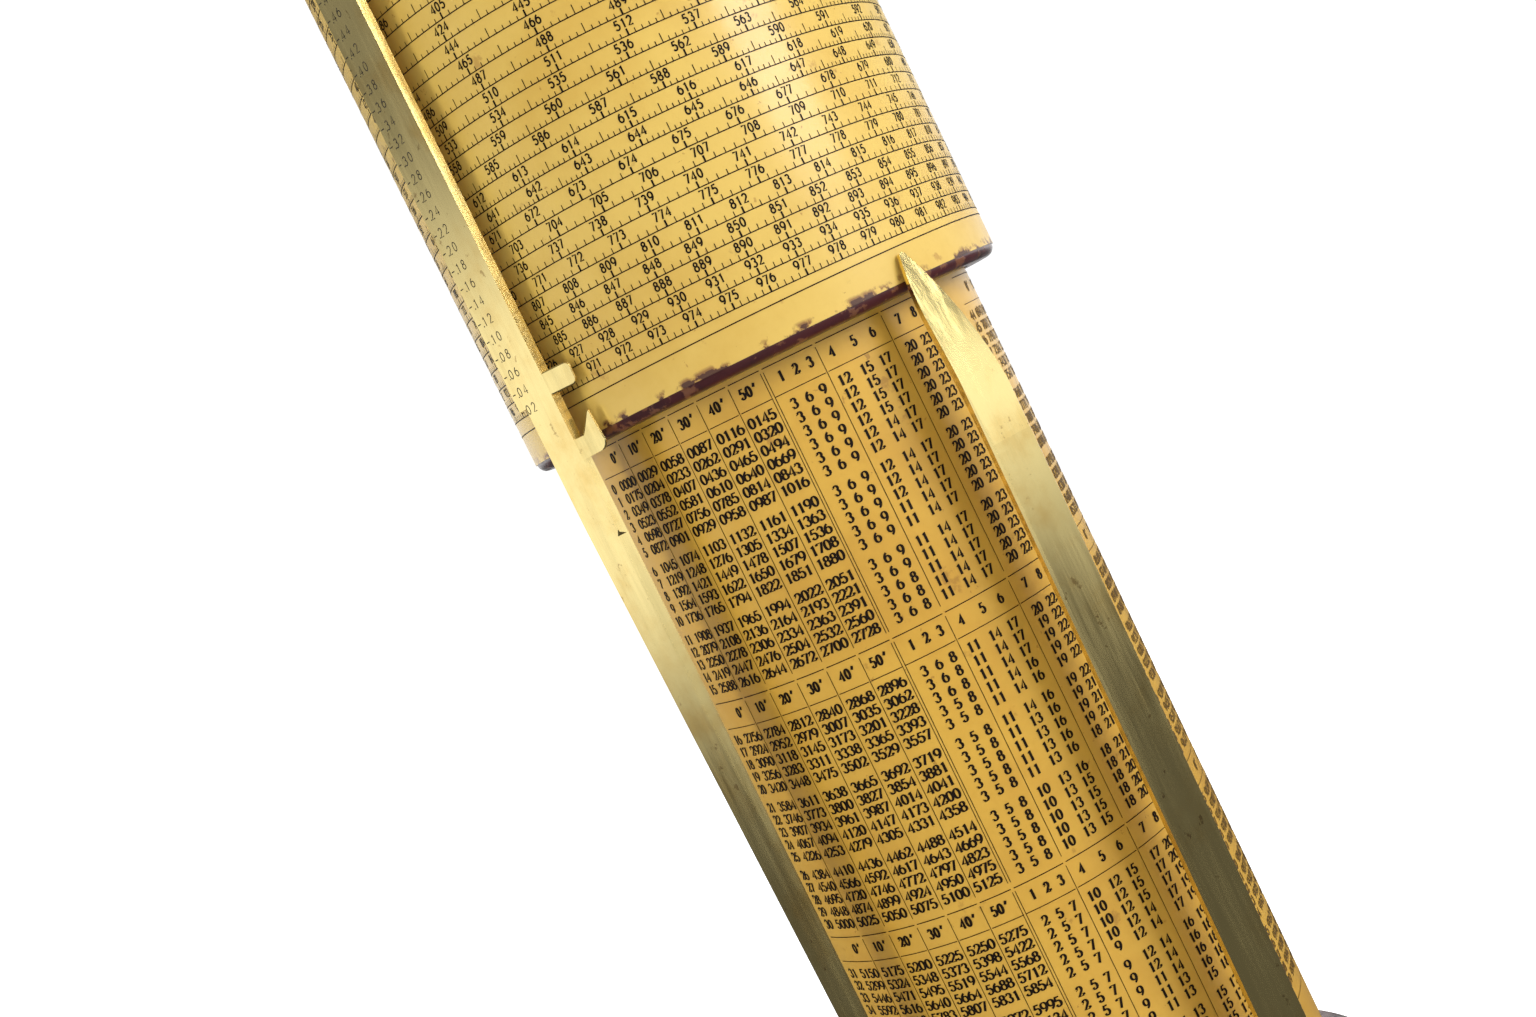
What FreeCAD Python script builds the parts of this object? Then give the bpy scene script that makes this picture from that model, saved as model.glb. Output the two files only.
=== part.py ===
import FreeCAD, Part
import math
import os
from FreeCAD import Vector

# Cylindrical slide rule with a fifty-turn spiral scale, standing on the end of its handle.
# The axis of the tubes is +Z, the origin is the centre of the handle's flat end, and -Y is
# the side that a reader faces.  Millimetres and degrees throughout.

# The printed scale: fifty turns on a cylinder of ten inches' circumference.
scale_radius = 10 * 25.4 / (2 * math.pi)
scale_turns = 50
scale_pitch = 2.8367
scale_length = scale_turns * scale_pitch
scale_margin = 6.6
rim_round = 1.5

# Turned mahogany handle and the flange that closes the holder tube.
grip_length = 90.0
grip_end_radius = 18.5
grip_belly_radius = 20.0
grip_neck_radius = 13.5
grip_shoulder_radius = 19.0
tenon_radius = 9.0
tenon_length = 10.0
pointer_seat = 0.4
flange_thickness = 14.0
flange_moulding = 4.0
flange_round = 2.5
flange_plug_length = 20.0

# Brass socket let into the handle's end, for the pin of a stand.
socket_bore_radius = 5.0
socket_wall = 2.0
socket_depth = 24.0
socket_collar_radius = 10.5
socket_collar_thickness = 1.5

# Screw that draws the handle and the flange together.
core_screw_radius = 2.2
core_screw_head_radius = 4.6
core_screw_head_height = 3.0
core_screw_length = 52.0

# Holder tube: papier-mache with a printed paper wrapped round it.
holder_wall = 3.2
holder_height = 303.0
paper_thickness = 0.23

# Scale tube, which slides and turns on the holder tube.
scale_wall = 4.815
scale_bore_gap = 0.55
scale_rest_height = 151.0
felt_gap = 0.25
felt_clearance = 0.12
scale_felt_depth = 0.9
felt_band = 12.0
felt_setback = 5.0

# Inner tube, which slides and turns inside the holder tube.
inner_clearance = 0.8
inner_wall = 2.6
inner_paper_thickness = 0.2
inner_engagement = 110.0
inner_felt_depth = 0.6
holder_felt_depth = 0.8

# Turned mahogany cap of the inner tube.
cap_gap = 0.3
cap_rim_margin = 0.7
cap_rim_height = 14.0
cap_dome_height = 6.0
cap_plug_length = 18.0

# Fixed pointer: a brass blade screwed to the flange, bent in to the scale at its tip.
pointer_azimuth = -93.8
pointer_lean = 0.6
pointer_clearance = 2.675
pointer_thickness = 1.2
pointer_width = 8.3
pointer_tip_gap = 0.45
pointer_tip_thickness = 0.5
pointer_tip_drop = 1.2
pointer_bend_length = 30.0
pointer_nose_left = 12.0
pointer_nose_right = 27.0
pointer_nose_offset = 1.7
pointer_nose_round = 0.62
pointer_bevel = 0.35

# Index bar: a brass strip screwed to the cap, wide where its own scale is engraved.
bar_azimuth = -176.4
bar_clearance = 2.375
bar_thickness = 1.5
bar_right = 4.6
bar_narrow_left = 2.6
bar_wide_left = 4.4
bar_foot_right = 1.6
bar_step_height = 2.5
bar_foot_gap = 1.1
bar_bevel_start = -16.8
bar_bevel_point = 3.0
bar_bevel_width = 0.5
bar_bevel_depth = 1.2
bar_edge_width = 0.45
bar_edge_depth = 0.18

# Index tongues brazed to the bar's edge and sloping down to the scale.
tongue_thickness = 0.8
tongue_reach = 3.1
tongue_drop = 3.0
tongue_height = 3.5
tongue_corner = 0.9
tongue_bevel = 0.2
index_tip_height = -1.6
index_spike = 3.1
reading_tongue_low = 2.4

# Small fasteners.
brad_radius = 0.6
brad_length = 7.6
brad_count = 4
screw_radius = 1.2
screw_head_radius = 1.9
screw_head_height = 1.0
screw_length = 9.0
screw_slot = 0.5
screw_spacing = 4.2
bar_screw_spacing = 7.5

# Heights and radii that follow from the sizes above.
flange_top = grip_length + flange_thickness
holder_top = flange_top + holder_height
scale_end = flange_top + scale_rest_height
scale_low = scale_end - scale_margin
scale_high = scale_end + scale_length + scale_margin
scale_tube_outer = scale_radius - paper_thickness
scale_bore = scale_tube_outer - scale_wall
holder_paper_radius = scale_bore - scale_bore_gap
holder_outer = holder_paper_radius - paper_thickness
holder_bore = holder_outer - holder_wall
inner_paper_outer = holder_bore - inner_clearance
inner_outer = inner_paper_outer - inner_paper_thickness
inner_bore = inner_outer - inner_wall
inner_low = holder_top - scale_length - inner_engagement
cap_under = holder_top + cap_gap
bar_inner = scale_radius + bar_clearance
bar_outer = bar_inner + bar_thickness
pointer_inner = scale_radius + pointer_clearance
pointer_outer = pointer_inner + pointer_thickness
flange_radius = pointer_inner + pointer_seat
cap_radius = bar_inner + cap_rim_margin
socket_outer = socket_bore_radius + socket_wall


def ring(outer, inner, low, high):
    """A plain tube about the axis."""
    return Part.makeCylinder(outer, high - low, Vector(0, 0, low)).cut(
        Part.makeCylinder(inner, high - low, Vector(0, 0, low)))


def rod(radius, low, high):
    """A plain round bar on the axis."""
    return Part.makeCylinder(radius, high - low, Vector(0, 0, low))


def turn_profile(edges):
    """Revolve a closed profile, drawn in the XZ plane, about the axis."""
    face = Part.Face(Part.Wire(edges))
    return face.revolve(Vector(0, 0, 0), Vector(0, 0, 1), 360)


def line(start, end):
    return Part.LineSegment(Vector(*start), Vector(*end)).toShape()


def arc(start, middle, end):
    return Part.Arc(Vector(*start), Vector(*middle), Vector(*end)).toShape()


def outline(points):
    """Straight edges through the points, closed."""
    return [line(a, b) for a, b in zip(points, points[1:] + points[:1])]


def turned_to(shape, azimuth):
    """Turn a shape made on the +X side round to its azimuth."""
    turned = shape.copy()
    turned.rotate(Vector(0, 0, 0), Vector(0, 0, 1), azimuth)
    return turned


def radial_pin(radius, length, outer, height):
    """A pin along +X that ends at the outer radius."""
    return Part.makeCylinder(radius, length, Vector(outer - length, 0, height), Vector(1, 0, 0))


def radial_screw(face, height):
    """A slotted countersunk screw along X, its head flush with the face."""
    head = Part.makeCone(screw_radius, screw_head_radius, screw_head_height,
                         Vector(face - screw_head_height, 0, height), Vector(1, 0, 0))
    shank = radial_pin(screw_radius, screw_length, face - screw_head_height, height)
    slot = Part.makeBox(screw_slot, 2 * screw_head_radius, screw_slot,
                        Vector(face - screw_slot, -screw_head_radius, height - screw_slot / 2))
    return shank.fuse(head).removeSplitter(), slot


# Handle, flange, socket and core screw -------------------------------------------------------

def grip_outline():
    """The turned curve of the grip, from its end up to the flange."""
    curve = Part.BSplineCurve()
    curve.interpolate([
        Vector(grip_end_radius, 0, 2),
        Vector(grip_belly_radius, 0, 0.28 * grip_length),
        Vector((grip_belly_radius + grip_neck_radius) / 2, 0, 0.58 * grip_length),
        Vector(grip_neck_radius, 0, 0.82 * grip_length),
        Vector(grip_shoulder_radius, 0, grip_length),
    ])
    end_round = arc((grip_end_radius - 2, 0, 0), (grip_end_radius - 0.59, 0, 0.59),
                    (grip_end_radius, 0, 2))
    top = grip_length + tenon_length
    return [
        line((0, 0, 0), (grip_end_radius - 2, 0, 0)),
        end_round,
        curve.toShape(),
        line((grip_shoulder_radius, 0, grip_length), (tenon_radius, 0, grip_length)),
        line((tenon_radius, 0, grip_length), (tenon_radius, 0, top)),
        line((tenon_radius, 0, top), (0, 0, top)),
        line((0, 0, top), (0, 0, 0)),
    ]


def core_screw_top():
    return flange_top + flange_plug_length


def core_screw():
    top = core_screw_top()
    head = Part.makeCone(core_screw_radius, core_screw_head_radius, core_screw_head_height,
                         Vector(0, 0, top - core_screw_head_height))
    shank = rod(core_screw_radius, top - core_screw_length, top - core_screw_head_height)
    slot = Part.makeBox(2 * core_screw_head_radius, 1.0, 1.0,
                        Vector(-core_screw_head_radius, -0.5, top - 1.0))
    return shank.fuse(head).removeSplitter().cut(slot)


def core_screw_hole():
    top = core_screw_top()
    head = Part.makeCone(core_screw_radius, core_screw_head_radius, core_screw_head_height,
                         Vector(0, 0, top - core_screw_head_height))
    return rod(core_screw_radius, top - core_screw_length, top).fuse(head)


def stand_socket():
    collar = rod(socket_collar_radius, 0, socket_collar_thickness)
    body = rod(socket_outer, 0, socket_depth)
    return collar.fuse(body).removeSplitter().cut(rod(socket_bore_radius, 0, socket_depth))


def handle_grip():
    seat = rod(socket_collar_radius, 0, socket_collar_thickness)
    return (turn_profile(grip_outline())
            .cut(seat.fuse(rod(socket_outer, 0, socket_depth)))
            .cut(core_screw_hole()))


def flange_blank():
    """Disc with a rounded rim and a hollow moulding under it, and the plug above."""
    low = grip_length
    rim_low = low + flange_moulding
    plug = holder_bore
    top = flange_top + flange_plug_length
    rim = flange_radius
    bow = flange_round * (1 - math.sqrt(0.5))
    edges = [
        line((0, 0, low), (grip_shoulder_radius + 2, 0, low)),
        arc((grip_shoulder_radius + 2, 0, low), (rim - 12, 0, low + 0.3 * flange_moulding),
            (rim - flange_round, 0, rim_low)),
        arc((rim - flange_round, 0, rim_low), (rim - bow, 0, rim_low + bow),
            (rim, 0, rim_low + flange_round)),
        line((rim, 0, rim_low + flange_round), (rim, 0, flange_top - 1)),
        arc((rim, 0, flange_top - 1), (rim - 0.29, 0, flange_top - 0.29), (rim - 1, 0, flange_top)),
        line((rim - 1, 0, flange_top), (plug, 0, flange_top)),
        line((plug, 0, flange_top), (plug, 0, top)),
        line((plug, 0, top), (0, 0, top)),
        line((0, 0, top), (0, 0, low)),
    ]
    return turn_profile(edges)


def pointer_low():
    """The blade's foot, where the flange's rim becomes upright."""
    return grip_length + flange_moulding + 0.4 * flange_round


def pointer_screw_heights():
    middle = (pointer_low() + flange_top) / 2
    return [middle - screw_spacing / 2, middle + screw_spacing / 2]


def to_pointer(shape):
    """Lean a shape as the blade leans, then turn it to the blade's azimuth."""
    leaned = shape.copy()
    middle = (pointer_low() + flange_top) / 2
    leaned.rotate(Vector(0, 0, middle), Vector(1, 0, 0), -pointer_lean)
    return turned_to(leaned, pointer_azimuth)


def handle_flange():
    flange = flange_blank().cut(rod(tenon_radius, grip_length, grip_length + tenon_length))
    flange = flange.cut(core_screw_hole())
    flat = Part.makeBox(20, 4 * pointer_width, flange_thickness,
                        Vector(pointer_inner, -2 * pointer_width, grip_length))
    flange = flange.cut(turned_to(flat, pointer_azimuth))
    for height in pointer_screw_heights():
        screw, slot = radial_screw(pointer_outer, height)
        flange = flange.cut(to_pointer(screw))
    for brad in holder_brads():
        flange = flange.cut(brad)
    return flange


# Holder tube -----------------------------------------------------------------------------------

def ring_of_brads(outer, height):
    """Brads driven radially, evenly spaced."""
    return [turned_to(radial_pin(brad_radius, brad_length, outer, height), 45 + 360 * i / brad_count)
            for i in range(brad_count)]


def holder_brads():
    return ring_of_brads(holder_outer, flange_top + flange_plug_length / 2)


def holder_lining_band():
    top = holder_top - felt_setback
    return top - felt_band, top


def holder_tube():
    tube = ring(holder_outer, holder_bore, flange_top, holder_top)
    low, top = holder_lining_band()
    tube = tube.cut(ring(holder_bore + holder_felt_depth, holder_bore - 1, low, top))
    for brad in holder_brads():
        tube = tube.cut(brad)
    return tube


def holder_lining():
    low, top = holder_lining_band()
    return ring(holder_bore + holder_felt_depth, inner_paper_outer + felt_gap, low, top)


# Scale tube --------------------------------------------------------------------------------------

def scale_tube():
    """Papier-mache tube with rounded, painted ends and a groove for each felt band."""
    tube = ring(scale_tube_outer, scale_bore, scale_low, scale_high)
    ends = [e for e in tube.Edges
            if abs(e.BoundBox.ZLength) < 0.01 and e.BoundBox.XLength > 2 * scale_tube_outer - 1]
    tube = tube.makeFillet(rim_round, ends)
    for low in scale_felt_lows():
        groove = ring(scale_bore + scale_felt_depth, scale_bore - 0.1, low, low + felt_band)
        tube = tube.cut(groove)
    return tube


def scale_felt_lows():
    return [scale_low + felt_setback, scale_high - felt_setback - felt_band]


def scale_felt(low):
    return ring(scale_bore + scale_felt_depth - felt_clearance, holder_paper_radius + felt_gap,
                low + felt_clearance, low + felt_band - felt_clearance)


def scale_paper():
    return ring(scale_radius, scale_tube_outer, scale_low + rim_round, scale_high - rim_round)


# Inner tube and cap ----------------------------------------------------------------------------

def inner_felt_low():
    return inner_low + felt_setback


def inner_tube():
    tube = ring(inner_outer, inner_bore, inner_low, cap_under)
    low = inner_felt_low()
    tube = tube.cut(ring(inner_outer + 1, inner_outer - inner_felt_depth, low, low + felt_band))
    for brad in cap_brads():
        tube = tube.cut(brad)
    return tube


def inner_tube_paper():
    return ring(inner_paper_outer, inner_outer, inner_felt_low() + felt_band + 1, cap_under)


def inner_lining():
    low = inner_felt_low()
    return ring(holder_bore - felt_gap, inner_outer - inner_felt_depth + felt_clearance,
                low + felt_clearance, low + felt_band - felt_clearance)


def cap_brads():
    return ring_of_brads(inner_outer, cap_under - cap_plug_length / 2)


def cap_blank():
    """Flat-sided disc with a domed top, and the plug under it."""
    rim_top = cap_under + cap_rim_height
    top = rim_top + cap_dome_height
    low = cap_under - cap_plug_length
    rim = cap_radius
    foot = rim - 6
    ball = (foot ** 2 + cap_dome_height ** 2) / (2 * cap_dome_height)
    half = math.asin(foot / ball) / 2
    edges = [
        line((0, 0, low), (inner_bore, 0, low)),
        line((inner_bore, 0, low), (inner_bore, 0, cap_under)),
        line((inner_bore, 0, cap_under), (rim - 0.8, 0, cap_under)),
        arc((rim - 0.8, 0, cap_under), (rim - 0.23, 0, cap_under + 0.23), (rim, 0, cap_under + 0.8)),
        line((rim, 0, cap_under + 0.8), (rim, 0, rim_top - 2)),
        arc((rim, 0, rim_top - 2), (rim - 0.7, 0, rim_top - 0.5), (rim - 2.4, 0, rim_top)),
        line((rim - 2.4, 0, rim_top), (foot, 0, rim_top)),
        arc((foot, 0, rim_top),
            (ball * math.sin(half), 0, top - ball * (1 - math.cos(half))), (0, 0, top)),
        line((0, 0, top), (0, 0, low)),
    ]
    return turn_profile(edges)


def bar_screw_heights():
    middle = cap_under + cap_rim_height / 2
    return [middle - bar_screw_spacing / 2, middle + bar_screw_spacing / 2]


def top_cap():
    cap = cap_blank()
    flat = Part.makeBox(20, 40, cap_rim_height, Vector(bar_inner, -20, cap_under))
    cap = cap.cut(turned_to(flat, bar_azimuth))
    for height in bar_screw_heights():
        screw, slot = radial_screw(bar_outer, height)
        cap = cap.cut(turned_to(screw, bar_azimuth))
    for brad in cap_brads():
        cap = cap.cut(brad)
    return cap


# Fixed pointer ---------------------------------------------------------------------------------

def pointer_tip():
    return scale_end - pointer_tip_drop


def pointer_side_face():
    """Side view of the blade: straight, then curving in to the scale and thinning to the tip."""
    tip = pointer_tip()
    bend = tip - pointer_bend_length
    low = pointer_low()
    tip_inner = scale_radius + pointer_tip_gap
    tip_outer = tip_inner + pointer_tip_thickness
    outer_mid = pointer_outer - (pointer_outer - tip_outer) / 4
    inner_mid = pointer_inner - (pointer_inner - tip_inner) / 4
    middle = (bend + tip) / 2
    edges = [
        line((pointer_inner, 0, low), (pointer_outer, 0, low)),
        line((pointer_outer, 0, low), (pointer_outer, 0, bend)),
        arc((pointer_outer, 0, bend), (outer_mid, 0, middle), (tip_outer, 0, tip)),
        line((tip_outer, 0, tip), (tip_inner, 0, tip)),
        arc((tip_inner, 0, tip), (inner_mid, 0, middle), (pointer_inner, 0, bend)),
        line((pointer_inner, 0, bend), (pointer_inner, 0, low)),
    ]
    return Part.Face(Part.Wire(edges))


def edge_curve(side, start, end):
    """Arc in the front plane that leaves an upright edge at start and reaches end."""
    across = abs(end[0] - start[0])
    along = end[1] - start[1]
    radius = (across ** 2 + along ** 2) / (2 * across)
    half = along / 2
    inward = radius - math.sqrt(radius ** 2 - half ** 2)
    return arc((30, start[0], start[1]), (30, start[0] - side * inward, start[1] + half),
               (30, end[0], end[1]))


def pointer_plan():
    """Front view of the blade: parallel sides, and a nose whose tip lies to the left."""
    half = pointer_width / 2
    tip = pointer_tip()
    low = pointer_low()
    r = pointer_nose_round
    left = (-pointer_nose_offset - r, tip - r)
    right = (-pointer_nose_offset + r, tip - r)
    left_foot = (-half, tip - pointer_nose_left)
    right_foot = (half, tip - pointer_nose_right)
    edges = [
        line((30, -half, low), (30, half, low)),
        line((30, half, low), (30, *right_foot)),
        edge_curve(1, right_foot, right),
        arc((30, *right), (30, -pointer_nose_offset, tip), (30, *left)),
        edge_curve(-1, left_foot, left),
        line((30, *left_foot), (30, -half, low)),
    ]
    return Part.Face(Part.Wire(edges))


def pointer_bevel_cutter(sign):
    """Wedge along one front edge of the blade."""
    edge = sign * pointer_width / 2
    wedge = Part.Face(Part.Wire(outline([
        (pointer_outer - pointer_bevel, edge, 0),
        (pointer_outer - pointer_bevel, edge + sign, 0),
        (pointer_outer + 1, edge + sign, 0),
        (pointer_outer + 1, edge - sign * (pointer_bevel + 1), 0),
    ])))
    return wedge.extrude(Vector(0, 0, 3 * flange_top))


def fixed_pointer():
    side = pointer_side_face()
    side.translate(Vector(0, -pointer_width, 0))
    blade = side.extrude(Vector(0, 2 * pointer_width, 0)).common(
        pointer_plan().extrude(Vector(30, 0, 0)))
    for sign in (-1, 1):
        blade = blade.cut(pointer_bevel_cutter(sign))
    for height in pointer_screw_heights():
        screw, slot = radial_screw(pointer_outer, height)
        blade = blade.cut(screw)
    return to_pointer(blade)


# Index bar and its tongues ---------------------------------------------------------------------

def bar_low():
    """Lower end of the bar, a little below the lower index."""
    return flange_top + bar_foot_gap


def edge_wedge(near, far):
    """Cross-section of a cutter whose face passes through two points of the bar's section."""
    dx = far[0] - near[0]
    dy = far[1] - near[1]
    start = (near[0] - 2 * dx, near[1] - 2 * dy)
    stop = (far[0] + 2 * dx, far[1] + 2 * dy)
    return [start, stop, (start[0], stop[1])]


def bar_bevel_cutters():
    """Cutters for the lower part's steep right bevel and its narrow front edge, with pointed ends."""
    start = scale_end + bar_bevel_start
    inner = bar_right - bar_bevel_width
    sections = [
        edge_wedge((bar_outer, inner), (bar_outer - bar_bevel_depth, bar_right)),
        edge_wedge((bar_outer, inner - bar_edge_width / 2),
                   (bar_outer - bar_edge_depth, inner + bar_edge_width / 2)),
    ]
    cutters = []
    for section in sections:
        low = [(x, y, bar_low() - 2) for x, y in section]
        high = start - bar_bevel_point
        wedge = Part.Face(Part.Wire(outline(low))).extrude(Vector(0, 0, high - bar_low() + 2))
        mouth = Part.Wire(outline([(x, y, high) for x, y in section]))
        point = Part.Vertex(section[2][0], section[2][1], start)
        cutters.append(wedge)
        cutters.append(Part.makeLoft([mouth, point], True))
    return cutters


def index_bar():
    top = cap_under + cap_rim_height
    step = scale_end + bar_step_height
    taper = scale_end + bar_bevel_start
    low = bar_low()
    plan = [
        (bar_inner, -bar_wide_left, top),
        (bar_inner, bar_right, top),
        (bar_inner, bar_right, low),
        (bar_inner, bar_foot_right, low),
        (bar_inner, -bar_narrow_left, taper),
        (bar_inner, -bar_narrow_left, step),
        (bar_inner, -bar_wide_left, step),
    ]
    bar = Part.Face(Part.Wire(outline(plan))).extrude(Vector(bar_thickness, 0, 0))
    corners = [e for e in bar.Edges
               if e.BoundBox.YLength < 0.01 and e.BoundBox.ZLength < 0.01
               and abs(e.CenterOfMass.z - top) < 0.01]
    bar = bar.makeFillet(1.2, corners)
    for cutter in bar_bevel_cutters():
        bar = bar.cut(cutter)
    for height in bar_screw_heights():
        screw, slot = radial_screw(bar_outer, height)
        bar = bar.cut(screw)
    return turned_to(bar, bar_azimuth)


def tongue_slope():
    return math.hypot(tongue_reach, tongue_drop)


def tongue_from(edges):
    """Thicken a tongue's outline and lay it down the slope from the bar's edge to the scale."""
    plate = Part.Face(Part.Wire(edges)).extrude(Vector(-tongue_thickness, 0, 0))
    front = [e for e in plate.Edges
             if all(abs(v.X) < 0.001 and v.Y > -1.9 for v in e.Vertexes)]
    plate = plate.makeChamfer(tongue_bevel, front)
    tilt = math.degrees(math.atan2(tongue_drop, tongue_reach))
    plate.rotate(Vector(0, 0, 0), Vector(0, 0, 1), tilt)
    plate.translate(Vector(bar_outer, bar_right, 0))
    waste = Part.makeBox(20, 20, 400, Vector(bar_outer - 10, bar_right - 20, 0))
    return turned_to(plate.cut(waste), bar_azimuth)


def reading_tongue():
    """Plain tongue with rounded corners, above the upper index."""
    low = scale_end + reading_tongue_low
    high = low + tongue_height
    end = tongue_slope()
    root = -2.0
    c = tongue_corner
    k = c * (1 - math.sqrt(0.5))
    return tongue_from([
        line((0, root, low), (0, end - c, low)),
        arc((0, end - c, low), (0, end - k, low + k), (0, end, low + c)),
        line((0, end, low + c), (0, end, high - c)),
        arc((0, end, high - c), (0, end - k, high - k), (0, end - c, high)),
        line((0, end - c, high), (0, root, high)),
        line((0, root, high), (0, root, low)),
    ])


def index_tongue(tip):
    """Tongue with a claw that points up to the index height."""
    high = tip - index_spike
    low = high - tongue_height + 0.2
    end = tongue_slope()
    root = -2.0
    return tongue_from([
        line((0, root, low), (0, end - 0.8, low + 0.3)),
        arc((0, end - 0.8, low + 0.3), (0, end - 0.28, low + 0.9), (0, end - 0.1, low + 1.8)),
        line((0, end - 0.1, low + 1.8), (0, end - 0.45, tip)),
        line((0, end - 0.45, tip), (0, end - 0.85, tip)),
        arc((0, end - 0.85, tip), (0, 0.52 * end, tip - 0.62 * index_spike), (0, 0.33 * end, high)),
        line((0, 0.33 * end, high), (0, root, high)),
        line((0, root, high), (0, root, low)),
    ])


def screw_group(face, heights, placed):
    screws = []
    for height in heights:
        screw, slot = radial_screw(face, height)
        screws.append(placed(screw.cut(slot)))
    return Part.makeCompound(screws)


def to_bar(shape):
    return turned_to(shape, bar_azimuth)


def all_parts():
    felts = scale_felt_lows()
    return {
        "handle_grip": handle_grip(),
        "handle_flange": handle_flange(),
        "stand_socket": stand_socket(),
        "core_screw": core_screw(),
        "holder_tube": holder_tube(),
        "holder_paper": ring(holder_paper_radius, holder_outer, flange_top, holder_top),
        "holder_brads": Part.makeCompound(holder_brads()),
        "holder_lining": holder_lining(),
        "fixed_pointer": fixed_pointer(),
        "pointer_screws": screw_group(pointer_outer, pointer_screw_heights(), to_pointer),
        "scale_tube": scale_tube(),
        "scale_paper": scale_paper(),
        "scale_lining_lower": scale_felt(felts[0]),
        "scale_lining_upper": scale_felt(felts[1]),
        "inner_tube": inner_tube(),
        "inner_paper": inner_tube_paper(),
        "inner_lining": inner_lining(),
        "top_cap": top_cap(),
        "cap_brads": Part.makeCompound(cap_brads()),
        "index_bar": index_bar(),
        "upper_index": index_tongue(scale_end + index_tip_height),
        "lower_index": index_tongue(scale_end + index_tip_height - scale_length),
        "reading_tongue": reading_tongue(),
        "bar_screws": screw_group(bar_outer, bar_screw_heights(), to_bar),
    }


def main():
    os.makedirs("parts", exist_ok=True)
    for name, shape in all_parts().items():
        shape.exportStep("parts/" + name + ".step")
        print(name, len(shape.Solids), round(shape.Volume, 1), shape.isValid())


main()
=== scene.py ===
import math

import bpy
from mathutils import Matrix, Vector


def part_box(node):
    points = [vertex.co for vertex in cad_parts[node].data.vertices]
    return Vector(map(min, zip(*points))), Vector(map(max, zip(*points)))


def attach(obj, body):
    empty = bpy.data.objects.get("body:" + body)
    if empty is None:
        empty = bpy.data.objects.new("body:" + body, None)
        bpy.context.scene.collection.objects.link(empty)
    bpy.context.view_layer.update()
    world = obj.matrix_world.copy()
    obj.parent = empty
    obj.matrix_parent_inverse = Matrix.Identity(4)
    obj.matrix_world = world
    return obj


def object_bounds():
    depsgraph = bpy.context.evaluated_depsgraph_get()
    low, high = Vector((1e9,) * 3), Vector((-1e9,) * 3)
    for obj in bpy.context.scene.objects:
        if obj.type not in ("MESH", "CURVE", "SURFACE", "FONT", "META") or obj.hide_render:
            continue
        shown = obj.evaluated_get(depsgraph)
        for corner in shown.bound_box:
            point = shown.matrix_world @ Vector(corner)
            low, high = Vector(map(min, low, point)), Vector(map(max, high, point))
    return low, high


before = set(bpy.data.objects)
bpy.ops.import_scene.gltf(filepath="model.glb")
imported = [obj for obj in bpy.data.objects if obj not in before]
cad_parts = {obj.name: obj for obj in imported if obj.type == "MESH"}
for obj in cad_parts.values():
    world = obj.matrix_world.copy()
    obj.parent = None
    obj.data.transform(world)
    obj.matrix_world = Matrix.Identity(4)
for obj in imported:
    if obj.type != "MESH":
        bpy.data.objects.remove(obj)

# Looks of a cylindrical slide rule: printed spiral scale, printed tables, engraved brass,
# turned mahogany.  Print and engraving are laid out in millimetres and become metres in
# to_metres(); the camera, the lamps, the floor and the finishes are in metres.

cad_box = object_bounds()

TURN = 2 * math.pi


# ---------------------------------------------------------------- places taken from the frame

def span(node):
    """Lowest and highest corner of a CAD node, in millimetres."""
    low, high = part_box(node)
    return low * 1000, high * 1000


scale_paper_low, scale_paper_high = span("scale_paper")
holder_paper_high = span("holder_paper")[1]
upper_index_high = span("upper_index")[1]
lower_index_high = span("lower_index")[1]

SCALE_RADIUS = scale_paper_high.x
HOLDER_RADIUS = holder_paper_high.x
SCALE_TURNS = 50
SCALE_LENGTH = upper_index_high.z - lower_index_high.z
PITCH = SCALE_LENGTH / SCALE_TURNS
INDEX_TIP_BELOW_END = 1.6
SCALE_END = upper_index_high.z + INDEX_TIP_BELOW_END

# Where the spiral starts, the first table's middle and the bar's face stand round the axis.
SCALE_START_AZIMUTH = math.radians(67.92)
TABLE_AZIMUTH = math.radians(231.1)
BAR_AZIMUTH = math.radians(-176.4)

# Distance of the bar's face from the axis, and how far print stands off its paper.
BAR_FACE = 44.3
PRINT_HEIGHT = 0.03


# ---------------------------------------------------------------- camera, light and floor

def place_camera():
    data = bpy.data.cameras.new("view")
    data.sensor_width = 36.0
    data.lens = 41.087
    data.clip_start = 0.01
    data.clip_end = 50
    camera = bpy.data.objects.new("view", data)
    place = Vector((-0.177572, -0.220067, 0.244175))
    right = Vector((0.703594, -0.559490, -0.438094))
    up = Vector((0.382942, -0.220797, 0.896997))
    back = Vector((-0.598591, -0.798887, 0.058901))
    turn = Matrix((right, up, back)).transposed()
    camera.matrix_world = Matrix.Translation(place) @ turn.to_4x4()
    bpy.context.scene.collection.objects.link(camera)
    bpy.context.scene.camera = camera


LAMP_AIM = Vector((0, 0, 0.25))


def soft_box(name, azimuth, height, distance, size, power, shines=True):
    """A white rectangular soft light aimed at the tubes; without shines it stays out of reflections."""
    data = bpy.data.lights.new(name, "AREA")
    data.shape = "RECTANGLE"
    data.size, data.size_y = size
    data.energy = power
    lamp = bpy.data.objects.new(name, data)
    angle = math.radians(azimuth)
    place = Vector((distance * math.cos(angle), distance * math.sin(angle), height))
    lamp.location = place
    lamp.rotation_euler = (LAMP_AIM - place).to_track_quat("-Z", "Y").to_euler()
    lamp.visible_camera = False
    lamp.visible_glossy = shines
    bpy.context.scene.collection.objects.link(lamp)


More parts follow.
